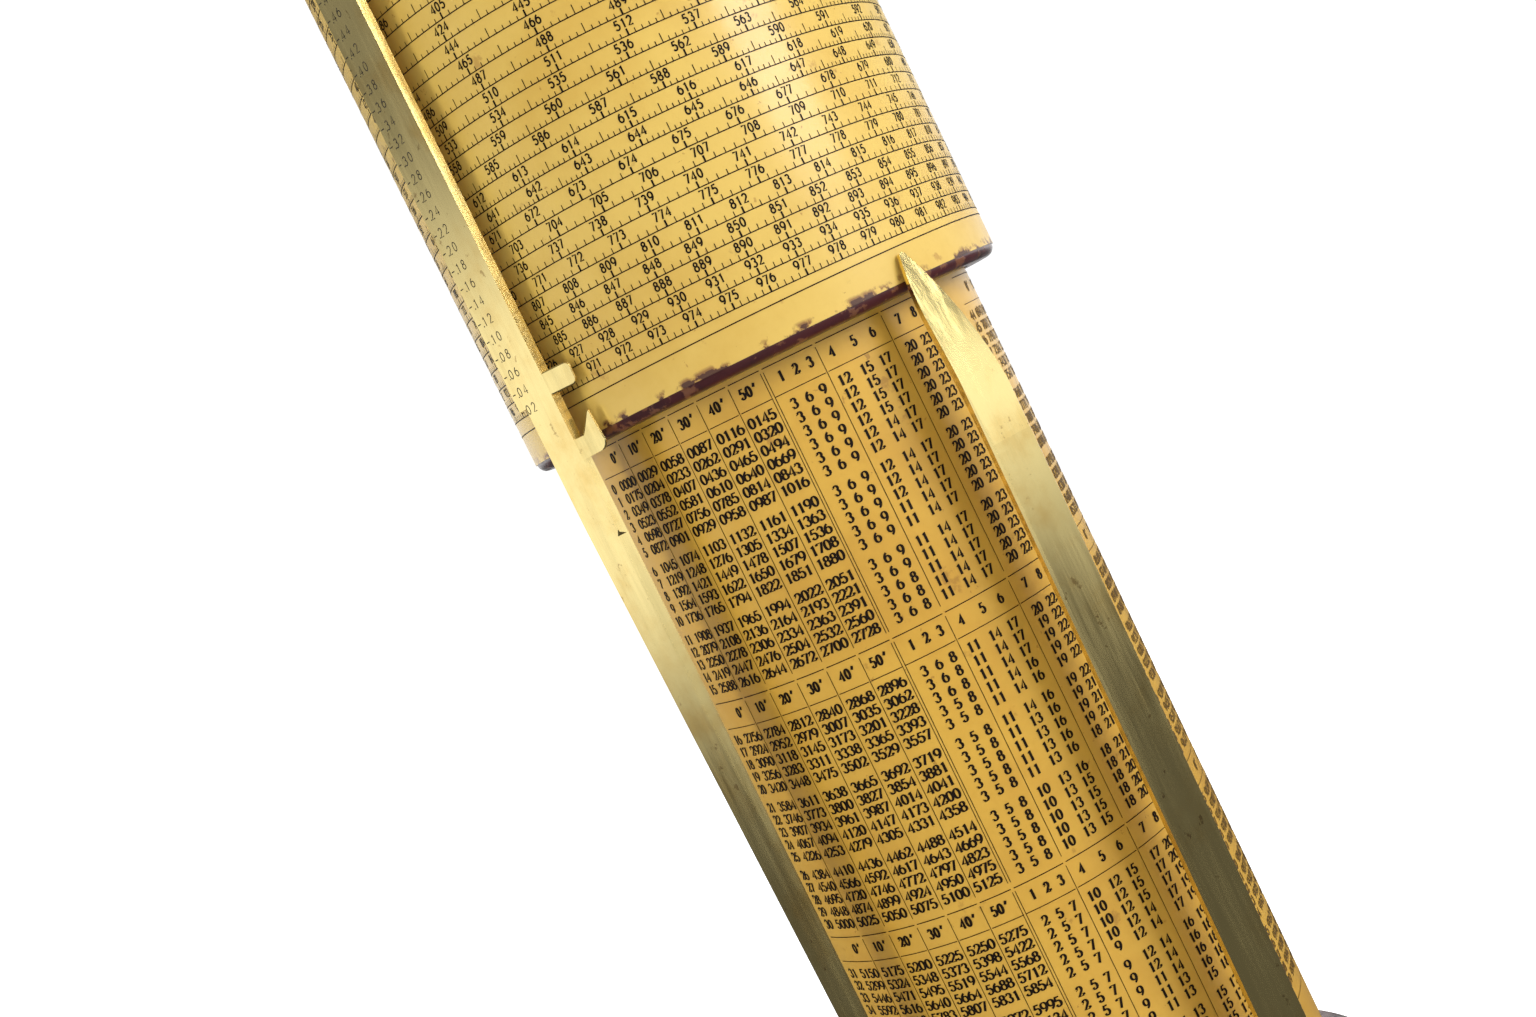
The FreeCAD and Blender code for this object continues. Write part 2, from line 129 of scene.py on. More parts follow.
def ramp(nodes, stops):
    """A colour ramp from (position, colour) stops."""
    made = nodes.new("ShaderNodeValToRGB")
    made.color_ramp.interpolation = "EASE"
    while len(made.color_ramp.elements) < len(stops):
        made.color_ramp.elements.new(0.5)
    for element, (position, colour) in zip(made.color_ramp.elements, stops):
        element.position = position
        element.color = (*colour, 1)
    return made


WHITE = (1, 1, 1, 1)
BACKDROP_STRENGTH = 1.05
EVEN_STRENGTH = 0.42
REFLECTED_STRENGTH = 1.6

# The surround as reflections show it: (height, grey), 0 straight down, 0.5 level, 1 straight up.
FALL_OFF = ((0.0, 0.05), (0.40, 0.07), (0.48, 0.8), (0.535, 0.8), (0.61, 0.16), (1.0, 0.2))


def studio_world():
    """A plain white studio: even soft light, and a neutral fall-off above and below for polished metal."""
    world = bpy.data.worlds.new("studio")
    world.use_nodes = True
    nodes, links = world.node_tree.nodes, world.node_tree.links
    nodes.clear()
    out = nodes.new("ShaderNodeOutputWorld")
    place = nodes.new("ShaderNodeTexCoord")
    split = nodes.new("ShaderNodeSeparateXYZ")
    links.new(place.outputs["Generated"], split.inputs[0])
    rise = nodes.new("ShaderNodeMapRange")
    rise.inputs["From Min"].default_value = -1
    links.new(split.outputs["Z"], rise.inputs["Value"])
    room = ramp(nodes, [(height, (grey, grey, grey)) for height, grey in FALL_OFF])
    links.new(rise.outputs[0], room.inputs["Fac"])
    path = nodes.new("ShaderNodeLightPath")
    even = nodes.new("ShaderNodeBackground")
    even.inputs["Color"].default_value = WHITE
    even.inputs["Strength"].default_value = EVEN_STRENGTH
    falling = nodes.new("ShaderNodeBackground")
    falling.inputs["Strength"].default_value = REFLECTED_STRENGTH
    links.new(room.outputs[0], falling.inputs["Color"])
    behind = nodes.new("ShaderNodeBackground")
    behind.inputs["Color"].default_value = WHITE
    behind.inputs["Strength"].default_value = BACKDROP_STRENGTH
    lit = nodes.new("ShaderNodeMixShader")
    links.new(path.outputs["Is Glossy Ray"], lit.inputs["Fac"])
    links.new(even.outputs[0], lit.inputs[1])
    links.new(falling.outputs[0], lit.inputs[2])
    seen = nodes.new("ShaderNodeMixShader")
    links.new(path.outputs["Is Camera Ray"], seen.inputs["Fac"])
    links.new(lit.outputs[0], seen.inputs[1])
    links.new(behind.outputs[0], seen.inputs[2])
    links.new(seen.outputs[0], out.inputs["Surface"])
    bpy.context.scene.world = world


# ---------------------------------------------------------------- meshes

RULE_STEP = 1.2


class Ribbon:
    """Flat strokes laid on a surface.  place(s, z) gives the point in millimetres."""

    def __init__(self, place):
        self.place = place
        self.points = []
        self.faces = []

    def quad(self, corners):
        start = len(self.points)
        self.points += [self.place(s, z) for s, z in corners]
        self.faces.append(tuple(range(start, start + len(corners))))

    def bar(self, s, low, high, width):
        """An upright tick."""
        half = width / 2
        self.quad([(s - half, low), (s + half, low), (s + half, high), (s - half, high)])

    def rule(self, start, end, z, width):
        """A level line, cut into short steps so that it follows a curve."""
        count = max(1, math.ceil((end - start) / RULE_STEP))
        first = len(self.points)
        for i in range(count + 1):
            s = start + (end - start) * i / count
            self.points.append(self.place(s, z - width / 2))
            self.points.append(self.place(s, z + width / 2))
        for i in range(count):
            a = first + 2 * i
            self.faces.append((a, a + 2, a + 3, a + 1))

    def stroke(self, points, width, closed=False):
        """A stroke along points; width(upright) gives its breadth, 0 for level and 1 for standing."""
        count = len(points)
        first = len(self.points)
        for i, (s, z) in enumerate(points):
            before = points[(i - 1) % count] if closed or i else points[i]
            after = points[(i + 1) % count] if closed or i < count - 1 else points[i]
            ds, dz = after[0] - before[0], after[1] - before[1]
            length = math.hypot(ds, dz) or 1
            ds, dz = ds / length, dz / length
            half = width(abs(dz)) / 2
            self.points.append(self.place(s - dz * half, z + ds * half))
            self.points.append(self.place(s + dz * half, z - ds * half))
        pairs = count if closed else count - 1
        for i in range(pairs):
            a = first + 2 * i
            b = first + 2 * ((i + 1) % count)
            self.faces.append((a, a + 1, b + 1, b))


def to_metres(points):
    return [(x / 1000, y / 1000, z / 1000) for x, y, z in points]


def add_print(name, ribbon, material, body):
    """A flat-shaded piece from a ribbon's strokes."""
    mesh = bpy.data.meshes.new(name)
    mesh.from_pydata(to_metres(ribbon.points), [], ribbon.faces)
    mesh.validate()
    mesh.polygons.foreach_set("use_smooth", [False] * len(mesh.polygons))
    mesh.update()
    mesh.materials.append(material)
    piece = bpy.data.objects.new(name, mesh)
    bpy.context.scene.collection.objects.link(piece)
    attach(piece, body)


def on_cylinder(radius, azimuth=0.0):
    """Surface coordinates on a tube: s to the reader's right, z up."""
    proud = radius + PRINT_HEIGHT

    def place(s, z):
        angle = azimuth + s / radius
        return proud * math.cos(angle), proud * math.sin(angle), z
    return place


def on_flat(distance, azimuth):
    """Surface coordinates on a flat face that stands off the axis."""

    def place(s, z):
        return (distance * math.cos(azimuth) - s * math.sin(azimuth),
                distance * math.sin(azimuth) + s * math.cos(azimuth), z)
    return place


# ---------------------------------------------------------------- figures

def bow(cx, cy, rx, ry, start, end, steps):
    """Points along part of an ellipse; angles in degrees."""
    return [(cx + rx * math.cos(math.radians(start + (end - start) * i / steps)),
             cy + ry * math.sin(math.radians(start + (end - start) * i / steps)))
            for i in range(steps + 1)]


def half_turned(strokes):
    return [([(1 - x, 1 - y) for x, y in points], closed) for points, closed in strokes]


SIX = [(bow(0.5, 0.31, 0.46, 0.31, 0, 330, 11), True),
       (bow(0.86, 0.31, 0.82, 0.66, 174, 110, 5), False)]

# Each figure is a list of (points, closed) in a box one unit wide and one unit high.
PLAIN_FIGURES = {
    "0": [(bow(0.5, 0.5, 0.44, 0.48, 0, 336, 14), True)],
    "1": [([(0.24, 0.8), (0.55, 1.0), (0.55, 0.0)], False)],
    "2": [(bow(0.49, 0.71, 0.42, 0.27, 165, -35, 7) + [(0.06, 0.02), (0.95, 0.02)], False)],
    "3": [(bow(0.46, 0.75, 0.38, 0.23, 150, -80, 6) + bow(0.46, 0.28, 0.45, 0.27, 75, -150, 7), False)],
    "4": [([(0.72, 0.0), (0.72, 1.0), (0.02, 0.27), (0.98, 0.27)], False)],
    "5": [([(0.88, 0.97), (0.24, 0.97), (0.14, 0.56)] + bow(0.46, 0.32, 0.46, 0.31, 125, -150, 8), False)],
    "6": SIX,
    "7": [([(0.06, 0.97), (0.94, 0.97), (0.36, 0.0)], False)],
    "8": [(bow(0.5, 0.76, 0.35, 0.22, 0, 330, 10), True), (bow(0.5, 0.28, 0.44, 0.27, 0, 330, 11), True)],
    "9": half_turned(SIX),
}

SERIF_EXTRAS = {
    "1": [([(0.3, 0.03), (0.8, 0.03)], False)],
    "4": [([(0.52, 0.03), (0.92, 0.03)], False)],
    "7": [([(0.1, 0.99), (0.1, 0.8)], False)],
    "2": [([(0.08, 0.72), (0.16, 0.66)], False), ([(0.94, 0.05), (0.97, 0.24)], False)],
    "5": [([(0.1, 0.24), (0.16, 0.14)], False)],
    "3": [([(0.12, 0.86), (0.17, 0.77)], False), ([(0.08, 0.14), (0.13, 0.22)], False)],
}


# A kind of type is the figures' height, the way from one to the next, and the part of it that they fill.
SCALE_TYPE = (1.3, 0.94, 0.73)
HEADER_TYPE = (1.55, 0.98, 0.72)
DEGREE_TYPE = (1.5, 1.02, 0.82)
VALUE_TYPE = (1.5, 1.08, 0.86)
DIFFERENCE_TYPE = (1.5, 1.1, 0.78)
BAR_TYPE = (1.4, 1.55, 0.58)


def plain_width(breadth):
    return lambda upright: breadth


def serif_width(thin, thick):
    """Thin where the stroke runs level, thick where it stands."""
    return lambda upright: thin + (thick - thin) * upright ** 1.6


def write(ribbon, text, s, z, kind, width, serif=False):
    """Figures and minute signs centred on (s, z)."""
    height, advance, figure_width = kind
    left = s - advance * (len(text) - 1) / 2
    for i, sign in enumerate(text):
        centre = left + advance * i
        if sign == "'":
            ribbon.stroke([(centre - 0.1, z + 0.2 * height), (centre + 0.12, z + 0.55 * height)], width)
            continue
        strokes = PLAIN_FIGURES[sign] + (SERIF_EXTRAS.get(sign, []) if serif else [])
        for points, closed in strokes:
            ribbon.stroke([(centre + (x - 0.5) * figure_width * advance, z + (y - 0.5) * height)
                           for x, y in points], width, closed)


# ---------------------------------------------------------------- printed spiral scale

SPIRAL_STEPS = 150
SPIRAL_HALF_BREADTH = 0.08
END_RULE_DROP = 0.13
END_RULE_BREADTH = 0.17
FIRST_TENTHS, LAST_TENTHS = 1000, 10000
COARSE_FROM = 650
WHOLE_TICK = (0.95, 0.27)
HALF_TICK = (1.4, 0.125)
FINE_TICK = (0.62, 0.125)
COARSE_TICK = (0.8, 0.125)
NUMBER_RISE = 1.8
NUMBER_BREADTH = 0.245


def spiral_turn(number):
    return SCALE_TURNS * math.log10(number / 100)


def spiral_place(turn):
    """Distance round the tube and height of the spiral line, counted in turns from its start."""
    return (SCALE_START_AZIMUTH + TURN * turn) * SCALE_RADIUS, SCALE_END + PITCH * (SCALE_TURNS - turn)


def print_spiral():
    """The spiral line with the rules at its ends, and its graduations in tenths, fifths from 650 on."""
    place = on_cylinder(SCALE_RADIUS)
    line = Ribbon(place)
    for i in range(SCALE_TURNS * SPIRAL_STEPS + 1):
        s, z = spiral_place(i / SPIRAL_STEPS)
        line.points.append(place(s, z - SPIRAL_HALF_BREADTH))
        line.points.append(place(s, z + SPIRAL_HALF_BREADTH))
        if i:
            a = 2 * i
            line.faces.append((a - 2, a, a + 1, a - 1))
    for height in (SCALE_END - END_RULE_DROP, SCALE_END + SCALE_LENGTH + PITCH):
        line.rule(0, TURN * SCALE_RADIUS, height, END_RULE_BREADTH)
    ticks = Ribbon(place)
    for tenth in range(FIRST_TENTHS, LAST_TENTHS + 1):
        number = tenth / 10
        if number > COARSE_FROM and tenth % 2:
            continue
        s, z = spiral_place(spiral_turn(number))
        if tenth % 10 == 0:
            height, breadth = WHOLE_TICK
        elif tenth % 5 == 0:
            height, breadth = HALF_TICK
        else:
            height, breadth = FINE_TICK if number < COARSE_FROM else COARSE_TICK
        ticks.bar(s, z, z + height, breadth)
    return line, ticks


def print_scale_numbers(first, last):
    numbers = Ribbon(on_cylinder(SCALE_RADIUS))
    for number in range(first, last):
        s, z = spiral_place(spiral_turn(number))
        write(numbers, str(number), s, z + NUMBER_RISE, SCALE_TYPE, plain_width(NUMBER_BREADTH))
    return numbers


# ---------------------------------------------------------------- printed tables

# Places round the holder are in degrees from the table's middle, heights are from the scale's end.
TABLE_COLUMNS = (-49.5, -41.0, -32.4, -23.8, -15.2, -6.8)
COLUMN_RULES = (-45.7, -36.6, -28.05, -19.6, -11.0)
DOUBLE_RULE = -2.2
DOUBLE_RULE_HALF_GAP = 0.35
DIFFERENCE_COLUMNS = (1.6, 5.4, 9.1, 14.8, 20.9, 26.3, 34.6, 39.9, 45.3)
DIFFERENCE_RULES = (11.7, 30.4)
DEGREE_COLUMN = -56.5
TABLE_RIGHT = 48.6
TABLE_LEFT = -59.0
# The rule above, the heading, the rule below, the first row's height, the first row, the one past the last.
BLOCKS = ((-7.4, -9.4, -11.8, -13.7, 0, 16), (-49.9, -51.9, -54.2, -56.1, 16, 31),
          (-90.1, -92.1, -94.3, -96.35, 31, 46))
ROW_PITCH = 2.12
ROWS_IN_GROUP = 5
GROUP_GAP = 1.03
TABLE_END = -131.2
RULE_GAP = 0.22
HEAVY_RULE = 0.14
LIGHT_RULE = 0.12
COLUMN_RULE = 0.1
COLUMN_RULE_DROP = 0.5
COLUMN_RULE_FOOT = 1.3
TABLE_THIN, TABLE_THICK = 0.2, 0.42


def round_holder(degrees):
    return math.radians(degrees) * HOLDER_RADIUS


def broken_rule(ribbon, height, width):
    """A rule across the table with a small gap at each column's edge."""
    stops = (TABLE_LEFT, *COLUMN_RULES, DOUBLE_RULE, *DIFFERENCE_RULES, TABLE_RIGHT)
    for left, right in zip(stops, stops[1:]):
        ribbon.rule(round_holder(left) + RULE_GAP, round_holder(right) - RULE_GAP, height, width)


def print_table(azimuth, first_degree, value, difference):
    """A printed table of four-figure values for forty-six rows, with proportional parts."""
    surface = on_cylinder(HOLDER_RADIUS, azimuth)
    figures = Ribbon(surface)
    rules = Ribbon(surface)
    bold = serif_width(TABLE_THIN, TABLE_THICK)
    double_rule = (DOUBLE_RULE - DOUBLE_RULE_HALF_GAP, DOUBLE_RULE + DOUBLE_RULE_HALF_GAP)
    zero = SCALE_END

    def enter(text, degrees, height, kind):
        write(figures, text, round_holder(degrees), height, kind, bold, serif=True)

    for top, header, under, first_row, start, stop in BLOCKS:
        broken_rule(rules, zero + top, HEAVY_RULE)
        broken_rule(rules, zero + under, LIGHT_RULE)
        for i, degrees in enumerate(TABLE_COLUMNS):
            enter(str(10 * i) + "'", degrees, zero + header, HEADER_TYPE)
        for i, degrees in enumerate(DIFFERENCE_COLUMNS):
            enter(str(i + 1), degrees, zero + header, HEADER_TYPE)
        lone_rows = 1 if start == 0 else 0
        for row in range(start, stop):
            groups = max((row - start - lone_rows) // ROWS_IN_GROUP, 0)
            height = zero + first_row - ROW_PITCH * (row - start) - GROUP_GAP * groups
            degree = first_degree + row
            enter(str(degree), DEGREE_COLUMN, height, DEGREE_TYPE)
            for i, degrees in enumerate(TABLE_COLUMNS):
                enter("%04d" % value(degree + i / 6), degrees, height, VALUE_TYPE)
            for i, degrees in enumerate(DIFFERENCE_COLUMNS):
                enter(str(difference(degree + 0.5, i + 1)), degrees, height, DIFFERENCE_TYPE)
        for degrees in (*COLUMN_RULES, *double_rule, *DIFFERENCE_RULES):
            rules.bar(round_holder(degrees), height - COLUMN_RULE_FOOT, zero + top - COLUMN_RULE_DROP,
                      COLUMN_RULE)
    broken_rule(rules, zero + TABLE_END, HEAVY_RULE)
    return figures, rules


FOUR_FIGURES = 1e4
HIGHEST_ENTRY = 9999


def sine(degrees):
    return min(HIGHEST_ENTRY, round(FOUR_FIGURES * math.sin(math.radians(degrees))))


def sine_step(degrees, minutes):
    return round(FOUR_FIGURES * math.cos(math.radians(degrees)) * math.radians(minutes / 60))


def tangent(degrees):
    return min(HIGHEST_ENTRY, round(FOUR_FIGURES * math.tan(math.radians(min(degrees, 45)))))


def tangent_step(degrees, minutes):
    return round(FOUR_FIGURES / math.cos(math.radians(degrees)) ** 2 * math.radians(minutes / 60))


# ---------------------------------------------------------------- engraving on the bar

ENGRAVING_HEIGHT = 0.012
BAR_SCALE_RISE = 1.0
BAR_TICK = (-4.1, -3.35)
BAR_LINE = 0.16
BAR_LABEL_PLACE = -1.35
BAR_POINT_PLACE = -2.75
BAR_POINT = (-0.7, -0.5)
BAR_POINT_BREADTH = 0.2


def engrave_bar():
    """The bar's own scale: a tick for each turn and a decimal label in fiftieths."""
    marks = Ribbon(on_flat(BAR_FACE + ENGRAVING_HEIGHT, BAR_AZIMUTH))
    foot, head = BAR_POINT
    for i in range(1, SCALE_TURNS + 1):
        z = upper_index_high.z + BAR_SCALE_RISE + PITCH * i
        marks.rule(*BAR_TICK, z, BAR_LINE)
        write(marks, "%02d" % (2 * i % 100), BAR_LABEL_PLACE, z, BAR_TYPE, plain_width(BAR_LINE))
        marks.bar(BAR_POINT_PLACE, z + foot, z + head, BAR_POINT_BREADTH)
    return marks


# ---------------------------------------------------------------- finishes

# Where a Mix node keeps its factor, its two colours and the colour that it gives.
MIX_FACTOR, MIX_LOW, MIX_HIGH, MIX_COLOUR = 0, 6, 7, 2


class Finish:
    """A node material with a Principled shader and short helpers for wiring it."""

    def __init__(self, name):
        self.material = bpy.data.materials.new(name)
        self.material.use_nodes = True
        self.tree = self.material.node_tree
        self.shader = self.tree.nodes["Principled BSDF"]
        self.place = self.node("ShaderNodeTexCoord").outputs["Object"]

    def node(self, kind, **inputs):
        made = self.tree.nodes.new(kind)
        for key, value in inputs.items():
            made.inputs[key.replace("_", " ")].default_value = value
        return made

    def link(self, source, target):
        self.tree.links.new(source, target)

    def set(self, **inputs):
        for key, value in inputs.items():
            self.shader.inputs[key.replace("_", " ")].default_value = value

    def group(self, tree, place=None, **inputs):
        made = self.tree.nodes.new("ShaderNodeGroup")
        made.node_tree = tree
        self.link(place or self.place, made.inputs["Place"])
        for key, value in inputs.items():
            made.inputs[key.replace("_", " ")].default_value = value
        return made

    def stretched(self, z):
        """Places with their height scaled, so that marks run along the axis or round it."""
        made = self.tree.nodes.new("ShaderNodeMapping")
        made.inputs["Scale"].default_value = (1, 1, z)
        self.link(self.place, made.inputs["Vector"])
        return made.outputs[0]

    def blend(self, factor, low, high):
        """Mix of two colours by a factor socket; either may be a colour or a socket."""
        made = self.tree.nodes.new("ShaderNodeMix")
        made.data_type = "RGBA"
        self.link(factor, made.inputs[MIX_FACTOR])
        for key, value in ((MIX_LOW, low), (MIX_HIGH, high)):
            if isinstance(value, bpy.types.NodeSocket):
                self.link(value, made.inputs[key])
            else:
                made.inputs[key].default_value = (*value, 1)
        return made.outputs[MIX_COLOUR]

    def map(self, socket, low, high, from_low=0.0, from_high=1.0):
        """A value between from_low and from_high, stretched to run from low to high."""
        made = self.tree.nodes.new("ShaderNodeMapRange")
        made.inputs["From Min"].default_value = from_low
        made.inputs["From Max"].default_value = from_high
        made.inputs["To Min"].default_value = low
        made.inputs["To Max"].default_value = high
        self.link(socket, made.inputs["Value"])
        return made.outputs[0]

    def bump(self, height, strength, distance):
        made = self.tree.nodes.new("ShaderNodeBump")
        made.inputs["Strength"].default_value = strength
        made.inputs["Distance"].default_value = distance
        self.link(height, made.inputs["Height"])
        self.link(made.outputs[0], self.shader.inputs["Normal"])


def new_group(name, inputs, outputs):
    """An empty node group; inputs are (name, kind, default)."""
    tree = bpy.data.node_groups.new(name, "ShaderNodeTree")
    tree.interface.new_socket(name="Place", in_out="INPUT", socket_type="NodeSocketVector")
    for label, kind, default in inputs:
        made = tree.interface.new_socket(name=label, in_out="INPUT", socket_type=kind)
        made.default_value = default
    for label, kind in outputs:
        tree.interface.new_socket(name=label, in_out="OUTPUT", socket_type=kind)
    return tree, tree.nodes.new("NodeGroupInput"), tree.nodes.new("NodeGroupOutput")


NUMBER = "NodeSocketFloat"


def blotch_group():
    """Soft-edged blotches: age stains, tarnish and rubbed spots."""
    tree, start, end = new_group(
        "blotches", [("Size", NUMBER, 60.0), ("Cover", NUMBER, 0.5), ("Edge", NUMBER, 0.1)],
        [("Mask", NUMBER)])
    cloud = tree.nodes.new("ShaderNodeTexNoise")
    cloud.inputs["Detail"].default_value = 6
    cloud.inputs["Roughness"].default_value = 0.62
    low = tree.nodes.new("ShaderNodeMath")
    low.operation = "SUBTRACT"
    low.inputs[0].default_value = 1.0
    high = tree.nodes.new("ShaderNodeMath")
    high.operation = "ADD"
    step = tree.nodes.new("ShaderNodeMapRange")
    step.interpolation_type = "SMOOTHSTEP"
    link = tree.links.new
    link(start.outputs["Place"], cloud.inputs["Vector"])
    link(start.outputs["Size"], cloud.inputs["Scale"])
    link(start.outputs["Cover"], low.inputs[1])
    link(low.outputs[0], high.inputs[0])
    link(start.outputs["Edge"], high.inputs[1])
    link(cloud.outputs[0], step.inputs["Value"])
    link(low.outputs[0], step.inputs["From Min"])
    link(high.outputs[0], step.inputs["From Max"])
    link(step.outputs[0], end.inputs["Mask"])
    return tree


def scratch_group():
    """Fine scratches that run mostly one way, with a coarser rub between them."""
    tree, start, end = new_group("scratches", [("Size", NUMBER, 900.0)], [("Height", NUMBER)])
    fine = tree.nodes.new("ShaderNodeTexNoise")
    fine.inputs["Detail"].default_value = 3
    rub = tree.nodes.new("ShaderNodeTexNoise")
    rub.inputs["Detail"].default_value = 4
    part = tree.nodes.new("ShaderNodeMath")
    part.operation = "MULTIPLY"
    part.inputs[1].default_value = 0.2
    both = tree.nodes.new("ShaderNodeMath")
    both.operation = "MULTIPLY_ADD"
    both.inputs[1].default_value = 0.6
    link = tree.links.new
    link(start.outputs["Place"], fine.inputs["Vector"])
    link(start.outputs["Place"], rub.inputs["Vector"])
    link(start.outputs["Size"], fine.inputs["Scale"])
    link(start.outputs["Size"], part.inputs[0])
    link(part.outputs[0], rub.inputs["Scale"])
    link(fine.outputs[0], both.inputs[0])
    link(rub.outputs[0], both.inputs[2])
    link(both.outputs[0], end.inputs["Height"])
    return tree


blotches = blotch_group()
scratches = scratch_group()


def varnished_paper(name, light, deep, stain, worn_end=None):
    """Yellowed varnish over printed paper, mottled and stained; worn_end is the height of a worn end."""
    paper = Finish(name)
    mottle = paper.group(blotches, Size=45, Cover=0.62, Edge=0.35)
    colour = paper.blend(paper.map(mottle.outputs[0], 0, 0.7), light, deep)
    fibre = paper.group(blotches, Size=900, Cover=0.5, Edge=0.2)
    colour = paper.blend(paper.map(fibre.outputs[0], 0, 0.12), colour, deep)
    stains = paper.group(blotches, Size=170, Cover=0.36, Edge=0.07)
    colour = paper.blend(paper.map(stains.outputs[0], 0, 0.5), colour, stain)
    specks = paper.group(blotches, Size=560, Cover=0.335, Edge=0.04)
    colour = paper.blend(paper.map(specks.outputs[0], 0, 0.6), colour, stain)
    if worn_end is not None:
        colour = worn_edge(paper, colour, worn_end)
    paper.link(colour, paper.shader.inputs["Base Color"])
    paper.link(paper.map(mottle.outputs[0], 0.42, 0.52), paper.shader.inputs["Roughness"])
    paper.set(Coat_Weight=0.42, Coat_Roughness=0.2, Coat_IOR=1.5, Specular_IOR_Level=0.3)
    wave = paper.group(scratches, Size=260)
    paper.bump(wave.outputs[0], 0.12, 0.0004)
    return paper.material


WORN_REACH = 0.0015


def worn_edge(paper, colour, end):
    """Dark grime and chipped varnish along the paper's lower end."""
    grimy, chipped = (0.17, 0.055, 0.018), (0.055, 0.016, 0.010)
    split = paper.node("ShaderNodeSeparateXYZ")
    paper.link(paper.place, split.inputs[0])
    nearness = paper.map(split.outputs["Z"], 1, 0, end, end + WORN_REACH)
    ragged = paper.group(blotches, Size=330, Cover=0.56, Edge=0.22)
    torn = paper.node("ShaderNodeMath")
    torn.operation = "MULTIPLY"
    paper.link(nearness, torn.inputs[0])
    paper.link(ragged.outputs[0], torn.inputs[1])
    grime = paper.blend(paper.map(torn.outputs[0], 0, 0.8, 0.1, 0.42), colour, grimy)
    return paper.blend(paper.map(torn.outputs[0], 0, 0.9, 0.48, 0.56), grime, chipped)


def printing_ink(name, dark, faded, fade):
    """Matt ink, rubbed paler in spots; fade is how far the rubbing goes."""
    ink = Finish(name)
    worn = ink.group(blotches, Size=700, Cover=0.5, Edge=0.3)
    ink.link(ink.blend(ink.map(worn.outputs[0], 0, fade), dark, faded), ink.shader.inputs["Base Color"])
    ink.set(Roughness=0.6, Specular_IOR_Level=0.12, Coat_Weight=0.08, Coat_Roughness=0.3)
    return ink.material


def polished_brass():
    """Brass drawn along the axis, deeper in places and spotted with tarnish."""
    bright, deep, tarnish = (0.86, 0.70, 0.30), (0.74, 0.52, 0.17), (0.30, 0.17, 0.05)
    brass = Finish("polished_brass")
    tone = brass.group(blotches, Size=70, Cover=0.55, Edge=0.3)
    colour = brass.blend(tone.outputs[0], bright, deep)
    spots = brass.group(blotches, Size=420, Cover=0.36, Edge=0.06)
    colour = brass.blend(brass.map(spots.outputs[0], 0, 0.6), colour, tarnish)
    brass.link(colour, brass.shader.inputs["Base Color"])
    drawn = brass.group(scratches, place=brass.stretched(0.06), Size=2600)
    rough = brass.map(drawn.outputs[0], 0.10, 0.26, 0.5, 1.1)
    brass.link(rough, brass.shader.inputs["Roughness"])
    brass.set(Metallic=1.0)
    brass.bump(drawn.outputs[0], 0.025, 0.00015)
    return brass.material


def dark_engraving():
    """Old wax in the bar's engraving."""
    wax, rubbed = (0.02, 0.014, 0.006), (0.10, 0.06, 0.02)
    fill = Finish("engraving_fill")
    worn = fill.group(blotches, Size=900, Cover=0.5, Edge=0.2)
    fill.link(fill.blend(worn.outputs[0], wax, rubbed), fill.shader.inputs["Base Color"])
    fill.set(Roughness=0.6)
    return fill.material


def red_lacquer():
    """Dark red paint on the tubes' ends, rubbed and chipped in spots."""
    red, shaded, bare = (0.060, 0.010, 0.012), (0.022, 0.005, 0.008), (0.20, 0.075, 0.03)
    paint = Finish("rim_lacquer")
    tone = paint.group(blotches, Size=130, Cover=0.55, Edge=0.3)
    colour = paint.blend(tone.outputs[0], red, shaded)
    rubbed = paint.group(blotches, Size=420, Cover=0.45, Edge=0.05)
    colour = paint.blend(paint.map(rubbed.outputs[0], 0, 0.7), colour, bare)
    paint.link(colour, paint.shader.inputs["Base Color"])
    paint.link(paint.map(tone.outputs[0], 0.3, 0.5), paint.shader.inputs["Roughness"])
    paint.set(Coat_Weight=0.35, Coat_Roughness=0.2)
    paint.bump(rubbed.outputs[0], 0.25, 0.0003)
    return paint.material


def mahogany():
    """Dark polished wood with its grain along the axis."""
    warm, shaded, pore = (0.11, 0.030, 0.022), (0.045, 0.013, 0.014), (0.022, 0.007, 0.008)
    wood = Finish("mahogany_polish")
    grain = wood.group(scratches, place=wood.stretched(0.05), Size=900)
    figure = wood.group(blotches, place=wood.stretched(0.18), Size=60, Cover=0.55, Edge=0.3)
    colour = wood.blend(figure.outputs[0], warm, shaded)
    sound = wood.map(grain.outputs[0], 0, 1, 0.55, 1.05)
    colour = wood.blend(sound, pore, colour)
    wood.link(colour, wood.shader.inputs["Base Color"])
    wood.link(wood.map(sound, 0.5, 0.28), wood.shader.inputs["Roughness"])
    wood.set(Coat_Weight=0.12, Coat_Roughness=0.25, Specular_IOR_Level=0.25)
    wood.bump(sound, 0.2, 0.0002)
    return wood.material


def felt_cloth():
    """Green felt with a soft nap."""
    shaded, lit = (0.02, 0.07, 0.045), (0.07, 0.17, 0.11)
    felt = Finish("felt_nap")
    nap = felt.group(scratches, Size=2500)
    colour = felt.blend(nap.outputs[0], shaded, lit)
    felt.link(colour, felt.shader.inputs["Base Color"])
    felt.set(Roughness=0.95, Sheen_Weight=0.4)
    felt.bump(nap.outputs[0], 0.6, 0.0006)
    return felt.material


